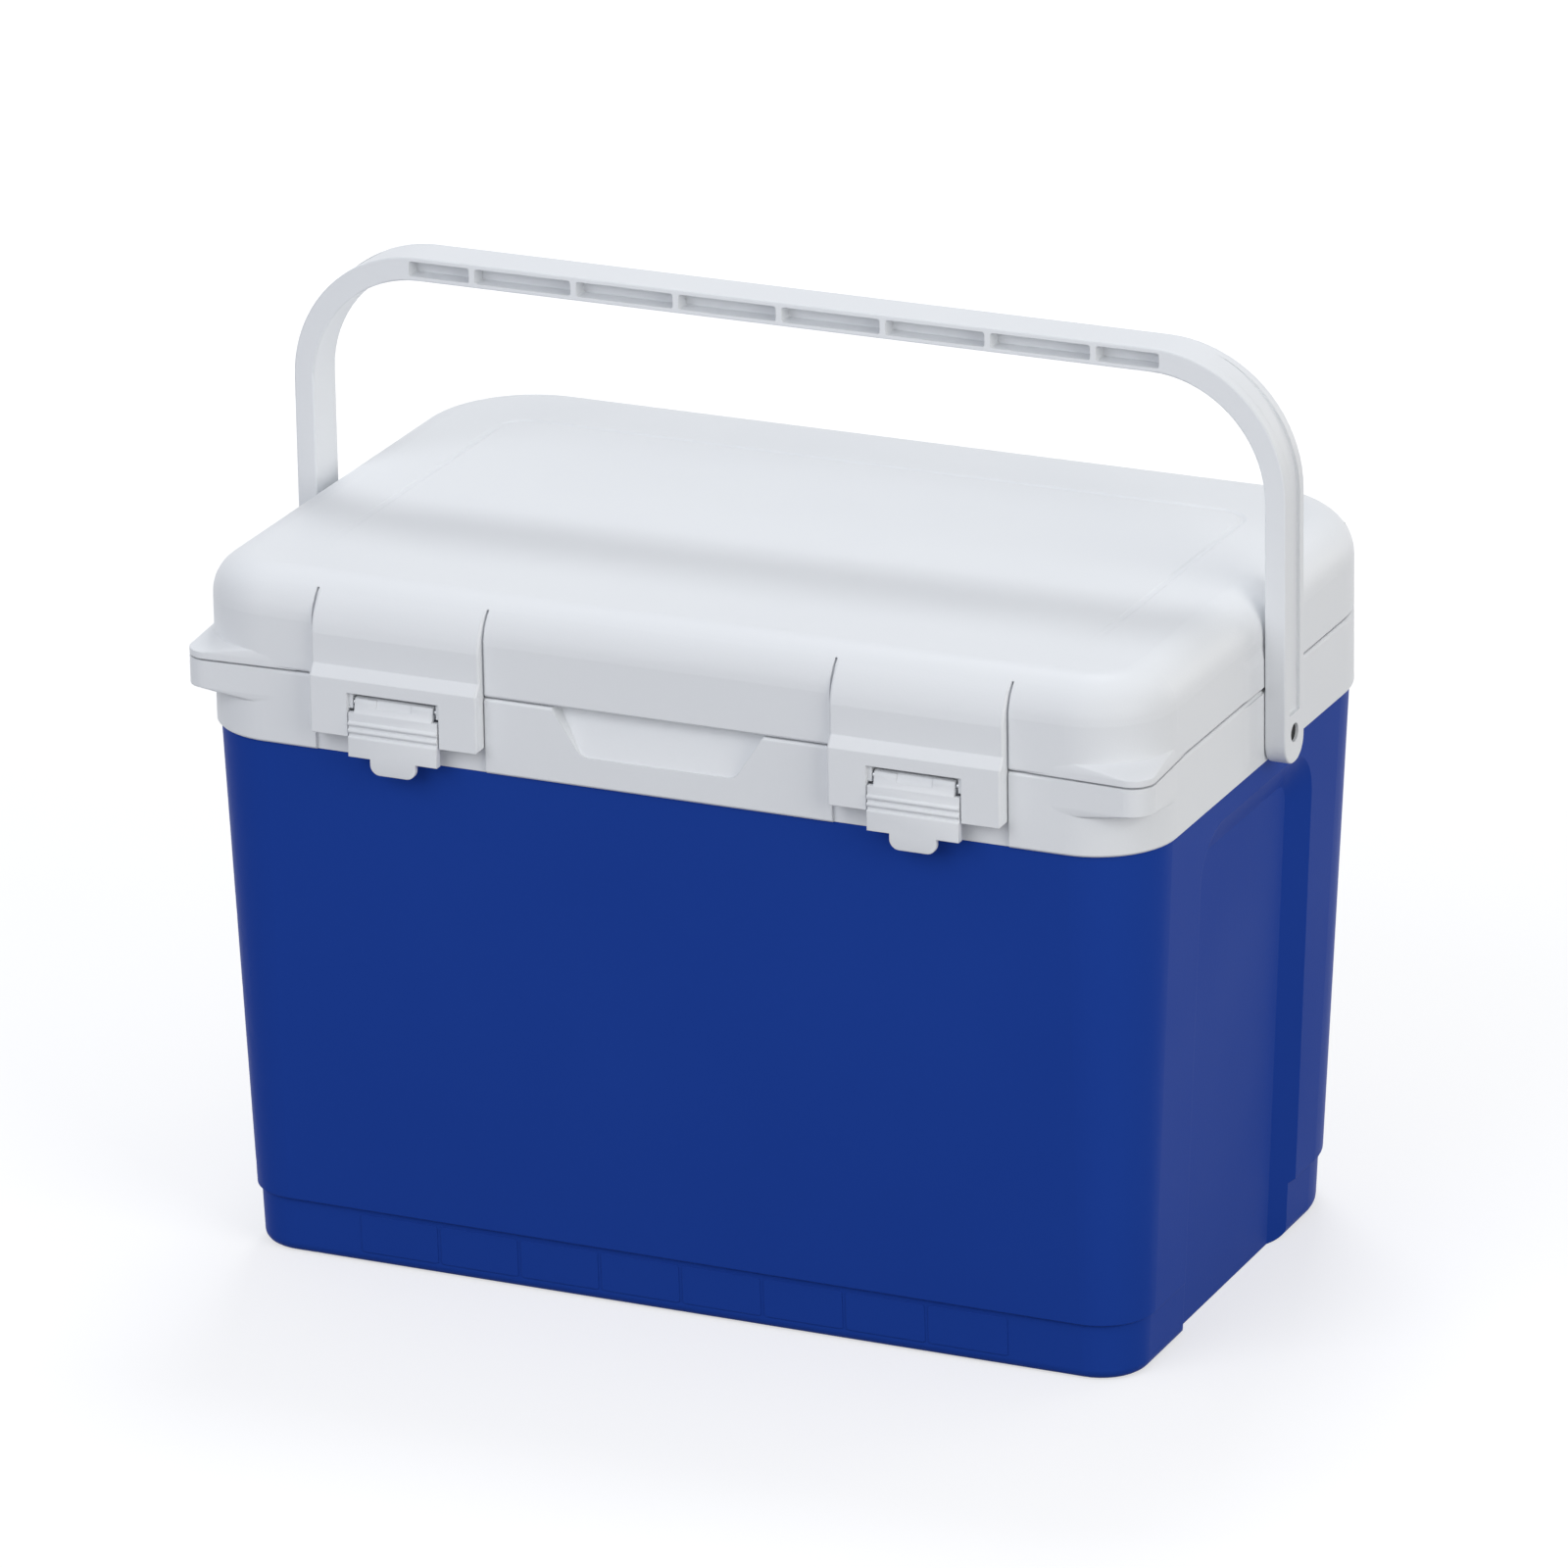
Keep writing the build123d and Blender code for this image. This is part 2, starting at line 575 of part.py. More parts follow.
def hood_seams():
    """Narrow grooves in the lid's front wall, one along each side of each hood."""
    skin = lid_block(0) - lid_block(HOOD_SEAM_DEPTH)
    skin &= block((-RIM.half_x, RIM.half_x), (-RIM.half_y, -RIM.half_y + LID_EDGE_RADIUS),
                  (LID_BOTTOM, LID_TOP - HOOD_TOP_DROP - HOOD_SEAM_STOP))
    seams = []
    for hood_side in SIDES.values():
        for edge_side in SIDES.values():
            near = hood_side * HOOD_SPACING / 2 + edge_side * HOOD_WIDTH / 2
            x = sorted((near, near + edge_side * HOOD_SEAM_WIDTH))
            seams.append(skin & block(x, (-RIM.half_y, 0), (LID_BOTTOM, LID_TOP)))
    return seams


def notch(x):
    """Notch in the panel of a hood, open at the bottom, in which the lever swings."""
    half = NOTCH_WIDTH / 2
    return block((x - half, x + half), (PANEL_Y, PANEL_Y + HOOD_WALL),
                 (PANEL_BOTTOM, RIM_TOP - NOTCH_TOP_BELOW_RIM))


def latch_lugs(x):
    """Two lugs at the ends of the notch that hold the pin of the lever."""
    lugs = []
    for side in SIDES.values():
        inner = x + side * (LEVER_NECK_WIDTH / 2 + LUG_GAP)
        outer = x + side * (NOTCH_WIDTH / 2 + LUG_WIDTH)
        y = (PANEL_Y + LUG_SETBACK, PANEL_Y + HOOD_WALL + LUG_DEPTH)
        lugs.append(block(sorted((inner, outer)), y, (LATCH_Z - LUG_DROP, LID_BOTTOM)))
    return lugs[0] + lugs[1]


def latch_bore(x):
    """Bore of the lever's pin in the lugs."""
    half = NOTCH_WIDTH / 2 + LUG_WIDTH
    return rod(LATCH_PIN_RADIUS + PRESS_CLEARANCE, x - half, x + half, LATCH_Y, LATCH_Z)


def ear_slots():
    """Slots of the lid for the ears of the collar."""
    middle = EAR_SPACING / 2
    half = EAR_WIDTH / 2 + EAR_SIDE_GAP
    reach = EAR_RADIUS + EAR_END_GAP
    slot = block((middle - half, middle + half), (HINGE_Y, RIM.half_y), (RIM_BOTTOM, HINGE_Z + reach))
    slot += block((middle - half, middle + half), (HINGE_Y - reach, HINGE_Y), (RIM_BOTTOM, HINGE_Z))
    slot += rod(reach, middle - half, middle + half, HINGE_Y, HINGE_Z)
    return both_ends(slot)


def hinge_pin_reach():
    """X values of the two ends of the right hinge pin."""
    rise = HINGE_Y - (RIM.half_y - REAR_RADIUS)
    wall = RIM.half_x - REAR_RADIUS + sqrt(REAR_RADIUS ** 2 - rise ** 2)
    inner = EAR_SPACING / 2 - EAR_WIDTH / 2 - EAR_SIDE_GAP - HINGE_PIN_INNER
    return inner, wall - HINGE_PIN_RECESS


def hinge_bores():
    """Bores of the hinge pins in the lid, open at its two sides."""
    inner = hinge_pin_reach()[0] - PRESS_CLEARANCE
    return both_ends(rod(HINGE_PIN_RADIUS + RUNNING_CLEARANCE, inner, RIM.half_x, HINGE_Y, HINGE_Z))


def border_groove():
    """Shallow groove on three sides of the lid's top, with sloping walls; it fades out towards the front."""
    middle = (BORDER_BACK + BORDER_FRONT) / 2
    line = Plan(BORDER_HALF_LENGTH, BORDER_BACK - middle, BORDER_RADIUS, BORDER_RADIUS)
    floor = LID_TOP - BORDER_DEPTH
    outside = tapered(inset(line, -BORDER_FLOOR_WIDTH / 2), floor, inset(line, -BORDER_WIDTH / 2), LID_TOP)
    inside = tapered(inset(line, BORDER_FLOOR_WIDTH / 2), floor, inset(line, BORDER_WIDTH / 2), LID_TOP)
    front = BORDER_FRONT + BORDER_WIDTH
    reach = bar([(front, LID_TOP), (front + BORDER_FADE, floor), (RIM.half_y, floor), (RIM.half_y, LID_TOP)],
                RIM_LENGTH)
    return Pos(0, middle, 0) * (outside - inside) & reach


def seam_bevel():
    """Bevel round the bottom edge of the lid's wall."""
    edge = column(RIM, LID_BOTTOM, LID_BOTTOM + SEAM_BEVEL)
    return edge - tapered(inset(RIM, SEAM_BEVEL), LID_BOTTOM, RIM, LID_BOTTOM + SEAM_BEVEL)


def lid_shell():
    """White lid: hollow cover, round along the hinge, with latch hoods, lips and pads."""
    lid = lid_block(0) - rear_corner(HINGE_HEIGHT) - seam_bevel()
    for seam in hood_seams():
        lid -= seam
    lid += corner_lips(LID_BOTTOM, LID_BOTTOM + LID_LIP_HEIGHT, LID_BOTTOM + LID_LIP_HEIGHT + LID_LIP_SLOPE)
    lid += arm_pads(LID_BOTTOM + SEAM_BEVEL, LID_BOTTOM + PAD_LID_HEIGHT, 0, PAD_SLOPE)
    for side in SIDES.values():
        lid += hood(side)
        lid -= latch_bore(side * HOOD_SPACING / 2)
    return lid - lid_hollow() - ear_slots() - hinge_bores() - border_groove()


def lid_liner():
    """Inner face of the lid: a plate with a hanging pan that plugs the mouth."""
    plate = column(inset(RIM, LID_WALL + FIT), LID_BOTTOM, PLATE_TOP)
    plate &= block((-RIM.half_x, RIM.half_x), (-RIM.half_y, HINGE_Y - FIT), (LID_BOTTOM, PLATE_TOP))
    plug = column(PLUG, PLUG_BOTTOM, PLATE_TOP)
    pan = column(inset(PLUG, PAN_WALL), PLUG_BOTTOM + PAN_WALL, PLATE_TOP)
    return plate + plug - pan - lid_gasket() - ear_slots()


def lid_gasket():
    """Soft ring in the underside of the plate, just above the liner's flange."""
    inner = inset(LINER_TOP, -GASKET_INSET)
    bottom = RIM_TOP + GASKET_CLEARANCE
    top = LID_BOTTOM + GASKET_DEPTH
    return column(inset(inner, -GASKET_WIDTH), bottom, top) - column(inner, bottom, top)


def lid_foam(liner):
    """Insulation that fills the lid and the pan of its liner."""
    above = lid_hollow() & block((-RIM.half_x, RIM.half_x), (-RIM.half_y, RIM.half_y), (PLATE_TOP, LID_TOP))
    pan = column(inset(PLUG, PAN_WALL), PLUG_BOTTOM + PAN_WALL, PLATE_TOP)
    return above + pan - liner


def hinge_pin(side):
    """Steel pin pushed in from one side of the lid."""
    inner, outer = hinge_pin_reach()
    return rod(HINGE_PIN_RADIUS, side * inner, side * outer, HINGE_Y, HINGE_Z)


def latch_pin(side):
    """Steel pin of one lever."""
    half = NOTCH_WIDTH / 2 + LUG_WIDTH
    x = side * HOOD_SPACING / 2
    return rod(LATCH_PIN_RADIUS, x - half, x + half, LATCH_Y, LATCH_Z)


def latch_lever(side):
    """Lever: a barrel on the pin, a neck with a dimple, a ribbed plate, a tab and a hook."""
    x = side * HOOD_SPACING / 2
    front = PANEL_Y - LEVER_PROUD
    back = front + LEVER_THICKNESS
    top = LATCH_Z - LEVER_TOP
    bottom = LATCH_Z - LEVER_BOTTOM
    face_top = (LATCH_Y - LEVER_FACE_FRONT, LATCH_Z + LEVER_FACE_TOP)
    face_low = (front + LEVER_FACE_SETBACK, LATCH_Z - LEVER_FACE_DROP)
    slope_end = LATCH_Z - LEVER_FACE_DROP - LEVER_FACE_SLOPE
    neck = bar([(LATCH_Y, LATCH_Z), face_top, face_low, (front, slope_end), (front, top - LEVER_THICKNESS),
                (back, top - LEVER_THICKNESS), (back, top), (LATCH_Y, LATCH_Z - LATCH_BARREL_RADIUS)],
               LEVER_NECK_WIDTH, x)
    half_neck = LEVER_NECK_WIDTH / 2
    lever = neck + rod(LATCH_BARREL_RADIUS, x - half_neck, x + half_neck, LATCH_Y, LATCH_Z)
    lever -= bar([(PANEL_Y, face_top[1]), (face_top[0] + DIMPLE_DEPTH, face_top[1]),
                  (face_low[0] + DIMPLE_DEPTH, LATCH_Z - DIMPLE_DROP), (PANEL_Y, LATCH_Z - DIMPLE_DROP)],
                 DIMPLE_WIDTH, x)
    half = LEVER_WIDTH / 2
    lever += block((x - half, x + half), (front, back), (bottom, top))
    proud = front - RIDGE_RISE
    ridge_z = LATCH_Z - RIDGE_FIRST
    for number in range(RIDGE_COUNT + 1):
        lever += rod(RIDGE_RADIUS, x - half, x + half, proud + RIDGE_RADIUS, ridge_z - number * RIDGE_PITCH)
    lever += block((x - half, x + half), (proud, front), (bottom, ridge_z - RIDGE_COUNT * RIDGE_PITCH))
    tab = block((x - TAB_WIDTH / 2, x + TAB_WIDTH / 2), (proud, proud + TAB_THICKNESS),
                (bottom - TAB_LENGTH, bottom))
    lever += fillet(tab.edges().filter_by(Axis.Y).sort_by(Axis.Z)[:2], TAB_RADIUS)
    hook_top = LATCH_Z - HOOK_TOP
    lever += block((x - HOOK_WIDTH / 2, x + HOOK_WIDTH / 2), (back, STRIP_Y - HOOK_CLEARANCE),
                   (hook_top - HOOK_HEIGHT, hook_top))
    return lever - rod(LATCH_PIN_RADIUS + RUNNING_CLEARANCE, x - half_neck, x + half_neck, LATCH_Y, LATCH_Z)


def bail_outline(half, top, bottom, radius):
    """Upright rectangle in the XZ plane with its two upper corners rounded."""
    face = make_face(Polyline((-half, bottom), (half, bottom), (half, top), (-half, top), close=True))
    return fillet(face.vertices().sort_by(Axis.Y)[-2:], radius)


def grip_pockets(top):
    """Pockets in the front and the back of the grip, with ribs left between them."""
    middle_z = top - GRIP_THICKNESS / 2
    z = (middle_z - POCKET_HEIGHT / 2, middle_z + POCKET_HEIGHT / 2)
    ribs = int(POCKET_RUN / 2 // RIB_PITCH)
    edges = [-POCKET_RUN / 2]
    for number in range(-ribs, ribs + 1):
        edges += [number * RIB_PITCH - RIB_WIDTH / 2, number * RIB_PITCH + RIB_WIDTH / 2]
    edges.append(POCKET_RUN / 2)
    pockets = []
    for start, end in zip(edges[::2], edges[1::2]):
        for side in SIDES.values():
            y = sorted((side * ARM_WIDTH / 2, side * (ARM_WIDTH / 2 - POCKET_DEPTH)))
            pocket = block((start, end), y, z)
            pockets.append(fillet(pocket.edges().filter_by(Axis.Y), POCKET_RADIUS))
    return Compound(children=pockets)


def arm_grooves(outside, top):
    """Shallow channels in the outer faces of the arms, which run out where the bail turns into the grip."""
    floor = bail_outline(BAIL_OUTER_X - GROOVE_DEPTH, top + GROOVE_FADE, BAIL_PIVOT_Z + GROOVE_START,
                         BAIL_OUTER_RADIUS)
    start = Plane(origin=(0, BAIL_PIVOT_Y + GROOVE_WIDTH / 2, 0), x_dir=(1, 0, 0), z_dir=(0, -1, 0))
    above = block((-BAIL_OUTER_X, BAIL_OUTER_X), (BAIL_PIVOT_Y - ARM_WIDTH, BAIL_PIVOT_Y + ARM_WIDTH),
                  (BAIL_PIVOT_Z + GROOVE_START, top))
    return extrude(start * (outside - floor), GROOVE_WIDTH, dir=(0, -1, 0)) & above


def bail_handle():
    """White U-shaped bail with a pocketed grip and grooved arms."""
    top = BAIL_PIVOT_Z + BAIL_REACH
    bottom = BAIL_PIVOT_Z - ARM_END
    outside = bail_outline(BAIL_OUTER_X, top, bottom, BAIL_OUTER_RADIUS)
    inside = bail_outline(BAIL_INNER_X, top - GRIP_THICKNESS, bottom, BAIL_INNER_RADIUS)
    front = Plane(origin=(0, BAIL_PIVOT_Y + ARM_WIDTH / 2, 0), x_dir=(1, 0, 0), z_dir=(0, -1, 0))
    bail = extrude(front * (outside - inside), ARM_WIDTH, dir=(0, -1, 0))
    ends = bail.edges().filter_by(Axis.X).group_by(Axis.Z)[0]
    bail = fillet(ends, ARM_END_RADIUS)
    rims = bail.faces().sort_by(Axis.Y)[0].edges() + bail.faces().sort_by(Axis.Y)[-1].edges()
    bail = fillet(rims, BAIL_EDGE_RADIUS)
    bail -= arm_grooves(outside, top)
    head_floor = BAIL_OUTER_X - PIVOT_HEAD_RECESS - PIVOT_HEAD_THICKNESS - PIVOT_HEAD_GAP
    head_radius = PIVOT_HEAD_RADIUS + PIVOT_HEAD_GAP
    pin_radius = PIVOT_PIN_RADIUS + RUNNING_CLEARANCE
    counterbore = rod(head_radius, head_floor, BAIL_OUTER_X, BAIL_PIVOT_Y, BAIL_PIVOT_Z)
    bore = rod(pin_radius, BAIL_INNER_X, BAIL_OUTER_X, BAIL_PIVOT_Y, BAIL_PIVOT_Z)
    return bail - both_ends(counterbore + bore) - grip_pockets(top)


def bail_pivot_pin(side):
    """Shouldered pin pressed into the collar; its head sits deep in the arm."""
    head_end = BAIL_OUTER_X - PIVOT_HEAD_RECESS
    head_start = head_end - PIVOT_HEAD_THICKNESS
    tip = RIM.half_x - COLLAR_WALL - BOSS_LENGTH + BOSS_END_WALL
    shank = rod(PIVOT_PIN_RADIUS, side * tip, side * head_start, BAIL_PIVOT_Y, BAIL_PIVOT_Z)
    head = rod(PIVOT_HEAD_RADIUS, side * head_start, side * head_end, BAIL_PIVOT_Y, BAIL_PIVOT_Z)
    return shank + head


def pack_places():
    """Places of the coolant packs: along both long walls and across both ends."""
    end_x = LINER_BASE.half_x - PACK_GAP - PACK_THICKNESS / 2
    side_y = LINER_BASE.half_y - PACK_GAP - PACK_THICKNESS / 2
    places = []
    for side in SIDES.values():
        for number in range(PACKS_PER_WALL):
            x = (number - (PACKS_PER_WALL - 1) / 2) * PACK_PITCH
            places.append(Pos(x, side * side_y, LINER_FLOOR))
        places.append(Pos(side * end_x, 0, LINER_FLOOR) * Rot(0, 0, 90))
    return places


def ice_pack():
    """Coolant pack standing on its short edge, with a neck in a notch of the upper corner."""
    body = Pos(0, 0, PACK_HEIGHT / 2) * Box(PACK_WIDTH, PACK_THICKNESS, PACK_HEIGHT)
    half = PACK_WIDTH / 2
    notch_floor = PACK_HEIGHT - PACK_NOTCH_HEIGHT
    body -= block((half - PACK_NOTCH_WIDTH, half), (-PACK_THICKNESS / 2, PACK_THICKNESS / 2),
                  (notch_floor, PACK_HEIGHT))
    body = fillet(body.edges().filter_by(Axis.Z), PACK_EDGE_RADIUS)
    neck = Pos(half - PACK_NOTCH_WIDTH / 2, 0, notch_floor + PACK_NECK_HEIGHT / 2)
    return body + neck * Cylinder(PACK_NECK_RADIUS, PACK_NECK_HEIGHT)


def ice_pack_cap():
    """Filling cap of a coolant pack."""
    x = PACK_WIDTH / 2 - PACK_NOTCH_WIDTH / 2
    notch_floor = PACK_HEIGHT - PACK_NOTCH_HEIGHT
    cap = Pos(x, 0, notch_floor + CAP_LIFT + CAP_HEIGHT / 2) * Cylinder(CAP_RADIUS, CAP_HEIGHT)
    return cap - Pos(x, 0, notch_floor + PACK_NECK_HEIGHT / 2) * Cylinder(PACK_NECK_RADIUS, PACK_NECK_HEIGHT)


def build_parts():
    """Every piece of the carrier, by node name."""
    collar = rim_collar()
    liner_of_lid = lid_liner()
    parts = {
        "outer_shell": outer_shell(),
        "inner_liner": inner_liner(),
        "body_foam": body_foam(collar),
        "rim_collar": collar,
        "lid_shell": lid_shell(),
        "lid_liner": liner_of_lid,
        "lid_foam": lid_foam(liner_of_lid),
        "lid_gasket": lid_gasket(),
        "bail_handle": bail_handle(),
    }
    for name, side in SIDES.items():
        parts["hinge_pin_" + name] = hinge_pin(side)
        parts["bail_pivot_pin_" + name] = bail_pivot_pin(side)
        parts["latch_pin_" + name] = latch_pin(side)
        parts["latch_lever_" + name] = latch_lever(side)
    for number, place in enumerate(pack_places(), start=1):
        parts[f"ice_pack_{number}"] = place * ice_pack()
        parts[f"ice_pack_cap_{number}"] = place * ice_pack_cap()
    return parts


os.makedirs("parts", exist_ok=True)
for part_name, shape in build_parts().items():
    export_step(shape, f"parts/{part_name}.step")
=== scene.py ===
import math

import bmesh
import bpy
from mathutils import Matrix, Vector


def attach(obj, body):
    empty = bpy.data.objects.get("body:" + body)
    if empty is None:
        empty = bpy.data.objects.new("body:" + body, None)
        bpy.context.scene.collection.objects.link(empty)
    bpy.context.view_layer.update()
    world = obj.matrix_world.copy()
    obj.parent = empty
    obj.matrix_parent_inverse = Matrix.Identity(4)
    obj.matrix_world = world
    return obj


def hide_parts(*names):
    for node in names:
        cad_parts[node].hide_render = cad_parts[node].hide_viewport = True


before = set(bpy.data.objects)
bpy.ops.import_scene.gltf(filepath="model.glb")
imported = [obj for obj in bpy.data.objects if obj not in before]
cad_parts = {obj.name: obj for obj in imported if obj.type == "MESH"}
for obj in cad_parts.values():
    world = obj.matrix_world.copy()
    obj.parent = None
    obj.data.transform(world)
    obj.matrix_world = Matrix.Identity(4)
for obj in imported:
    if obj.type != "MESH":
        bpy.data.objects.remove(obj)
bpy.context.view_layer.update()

# ---------------------------------------------------------------------------------------------
# Camera. A long lens looks down on the front right corner of the box and is turned a little
# about its own axis.
# ---------------------------------------------------------------------------------------------
CAMERA_AZIMUTH = math.radians(24.49)
CAMERA_ELEVATION = math.radians(20.29)
CAMERA_ROLL = math.radians(-0.93)
CAMERA_DISTANCE = 4.3545
CAMERA_TARGET = Vector((-0.00525, 0.0, 0.1787))
FOCAL_PIXELS = 11388.87
FRAME_PIXELS = 1600

camera_data = bpy.data.cameras.new("studio_camera")
camera_data.lens = camera_data.sensor_width * FOCAL_PIXELS / FRAME_PIXELS
camera = bpy.data.objects.new("studio_camera", camera_data)
bpy.context.scene.collection.objects.link(camera)
backward = Vector((math.sin(CAMERA_AZIMUTH) * math.cos(CAMERA_ELEVATION),
                   -math.cos(CAMERA_AZIMUTH) * math.cos(CAMERA_ELEVATION),
                   math.sin(CAMERA_ELEVATION)))
level_right = Vector((math.cos(CAMERA_AZIMUTH), math.sin(CAMERA_AZIMUTH), 0.0))
level_up = backward.cross(level_right)
right = level_right * math.cos(CAMERA_ROLL) + level_up * math.sin(CAMERA_ROLL)
up = level_up * math.cos(CAMERA_ROLL) - level_right * math.sin(CAMERA_ROLL)
turn = Matrix((right, up, backward)).transposed().to_4x4()
camera.matrix_world = Matrix.Translation(CAMERA_TARGET + backward * CAMERA_DISTANCE) @ turn
bpy.context.scene.camera = camera


# ---------------------------------------------------------------------------------------------
# Studio. A pale floor that runs out of sight, a soft lamp above and behind the box, wide ones
# at the front left and the right, one low behind the right end, and a slightly cool surround
# that shows as plain white.
# ---------------------------------------------------------------------------------------------
FLOOR_HALF = 30.0
FLOOR_LEVEL = -0.0002
FLOOR_COLOR = "#BCBCBC"
FLOOR_BOUNCE_COLOR = "#9C9C9E"
FLOOR_GLOW_NEAR = 0.58
FLOOR_GLOW_FAR = 0.90
FLOOR_NEAR = 0.7
FLOOR_FAR = 1.8
BACKDROP_COLOR = "#FFFFFF"
BACKDROP_LIGHT = 1.0
SURROUND_COLOR = "#F6F9FF"
SURROUND_LIGHT = 0.47
LAMPS = {
    "key_lamp": {"power": 16.0, "size": 0.7, "place": (-0.35, 1.1, 2.3), "color": "#FBFDFF"},
    "left_lamp": {"power": 34.5, "size": 2.2, "place": (-0.9, -2.5, 1.8), "color": "#F8FAFF"},
    "right_lamp": {"power": 22.5, "size": 1.6, "place": (2.2, -0.9, 1.0), "color": "#FFFDF8"},
    "rim_lamp": {"power": 8.0, "size": 1.0, "place": (1.6, 2.4, 0.6), "color": "#FFFAF2"},
}
LAMP_TARGET = Vector((0.0, 0.0, 0.15))


def linear(hex_color):
    """Linear RGBA of an sRGB hex colour."""
    values = [int(hex_color[i:i + 2], 16) / 255 for i in (1, 3, 5)]
    return [v / 12.92 if v <= 0.04045 else ((v + 0.055) / 1.055) ** 2.4 for v in values] + [1.0]


def add_node(tree, kind, settings=None, inputs=None):
    """One node of a tree with its settings. An input is a value or the socket that feeds it."""
    node = tree.nodes.new(kind)
    for name, value in (settings or {}).items():
        setattr(node, name, value)
    for name, value in (inputs or {}).items():
        if isinstance(value, bpy.types.NodeSocket):
            tree.links.new(value, node.inputs[name])
        else:
            node.inputs[name].default_value = value
    return node


def new_material(name):
    """An empty node material, its tree and its output node."""
    material = bpy.data.materials.new(name)
    material.use_nodes = True
    material.node_tree.nodes.clear()
    return material, material.node_tree, add_node(material.node_tree, "ShaderNodeOutputMaterial")


def add_lamp(name, lamp):
    """Square area lamp aimed at a point."""
    data = bpy.data.lights.new(name, "AREA")
    data.energy = lamp["power"]
    data.size = lamp["size"]
    data.color = linear(lamp["color"])[:3]
    holder = bpy.data.objects.new(name, data)
    bpy.context.scene.collection.objects.link(holder)
    holder.location = lamp["place"]
    aim = LAMP_TARGET - Vector(lamp["place"])
    holder.rotation_euler = aim.to_track_quat("-Z", "Y").to_euler()


def background_rays(tree):
    """1 for the rays that show a background: the camera's, and what gloss and glass send on."""
    path = add_node(tree, "ShaderNodeLightPath").outputs
    sharp = add_node(tree, "ShaderNodeMath", {"operation": "MAXIMUM"},
                     {0: path["Is Camera Ray"], 1: path["Is Glossy Ray"]})
    return add_node(tree, "ShaderNodeMath", {"operation": "MAXIMUM"},
                    {0: sharp.outputs[0], 1: path["Is Transmission Ray"]}).outputs[0]


def studio_floor():
    """Pale floor a hair under the base. It whitens with distance; as a light it is greyer."""
    mesh = bpy.data.meshes.new("studio_floor")
    corners = [(-FLOOR_HALF, -FLOOR_HALF, FLOOR_LEVEL), (FLOOR_HALF, -FLOOR_HALF, FLOOR_LEVEL),
               (FLOOR_HALF, FLOOR_HALF, FLOOR_LEVEL), (-FLOOR_HALF, FLOOR_HALF, FLOOR_LEVEL)]
    mesh.from_pydata(corners, [], [(0, 1, 2, 3)])
    floor = bpy.data.objects.new("studio_floor", mesh)
    bpy.context.scene.collection.objects.link(floor)
    material, tree, output = new_material("painted studio floor")
    seen = background_rays(tree)
    color = add_node(tree, "ShaderNodeMix", {"data_type": "RGBA"},
                     {"Factor": seen, "A": linear(FLOOR_BOUNCE_COLOR), "B": linear(FLOOR_COLOR)})
    place = add_node(tree, "ShaderNodeTexCoord").outputs["Object"]
    distance = add_node(tree, "ShaderNodeVectorMath", {"operation": "LENGTH"}, {0: place})
    fade = add_node(tree, "ShaderNodeMapRange",
                    inputs={"Value": distance.outputs["Value"],
                            "From Min": FLOOR_NEAR, "From Max": FLOOR_FAR,
                            "To Min": FLOOR_GLOW_NEAR, "To Max": FLOOR_GLOW_FAR})
    glow = add_node(tree, "ShaderNodeMath", {"operation": "MULTIPLY"},
                    {0: seen, 1: fade.outputs["Result"]})
    paint = add_node(tree, "ShaderNodeBsdfDiffuse", inputs={"Color": color.outputs["Result"]})
    light = add_node(tree, "ShaderNodeEmission", inputs={"Strength": glow.outputs[0]})
    both = add_node(tree, "ShaderNodeAddShader", inputs={0: paint.outputs[0], 1: light.outputs[0]})
    tree.links.new(both.outputs[0], output.inputs["Surface"])
    mesh.materials.append(material)


def surround():
    """Surround: a soft, slightly cool light on the object, and plain white where it is seen."""
    world = bpy.data.worlds.new("surround")
    bpy.context.scene.world = world
    world.use_nodes = True
    tree = world.node_tree
    tree.nodes.clear()
    seen = background_rays(tree)
    light = add_node(tree, "ShaderNodeBackground",
                     inputs={"Color": linear(SURROUND_COLOR), "Strength": SURROUND_LIGHT})
    backdrop = add_node(tree, "ShaderNodeBackground",
                        inputs={"Color": linear(BACKDROP_COLOR), "Strength": BACKDROP_LIGHT})
    mix = add_node(tree, "ShaderNodeMixShader",
                   inputs={0: seen, 1: light.outputs[0], 2: backdrop.outputs[0]})
    output = add_node(tree, "ShaderNodeOutputWorld")
    tree.links.new(mix.outputs[0], output.inputs["Surface"])


studio_floor()
surround()
for lamp_name, lamp_facts in LAMPS.items():
    add_lamp(lamp_name, lamp_facts)
bpy.context.scene.view_settings.view_transform = "Standard"


# ---------------------------------------------------------------------------------------------
# Tub. Injection-moulded polypropylene, dyed deep blue all through, with a fine spark-eroded
# grain that breaks the gloss into a satin sheen. It stands on a base band set in by a step.
# ---------------------------------------------------------------------------------------------
TUB_BLUE = "#20439C"
TUB_BLUE_DEEP = "#1D3F97"
TUB_ROUGHNESS = 0.38
TUB_SPECULAR = 0.02
SATIN_SPECULAR = 0.12
POLYPROPYLENE_IOR = 1.49
GRAIN_SIZE = 0.0009
GRAIN_DETAIL = 2.0
GRAIN_DEPTH = 0.00006
GRAIN_STRENGTH = 0.5
CLOUD_SIZE = 0.09
CLOUD_DETAIL = 3.0
CLOUD_LOW = 0.3
CLOUD_HIGH = 0.7
GLOSS_SWING = 0.03
EDGE_GLINT_RADIUS = 0.0006
EDGE_GLINT_SAMPLES = 6


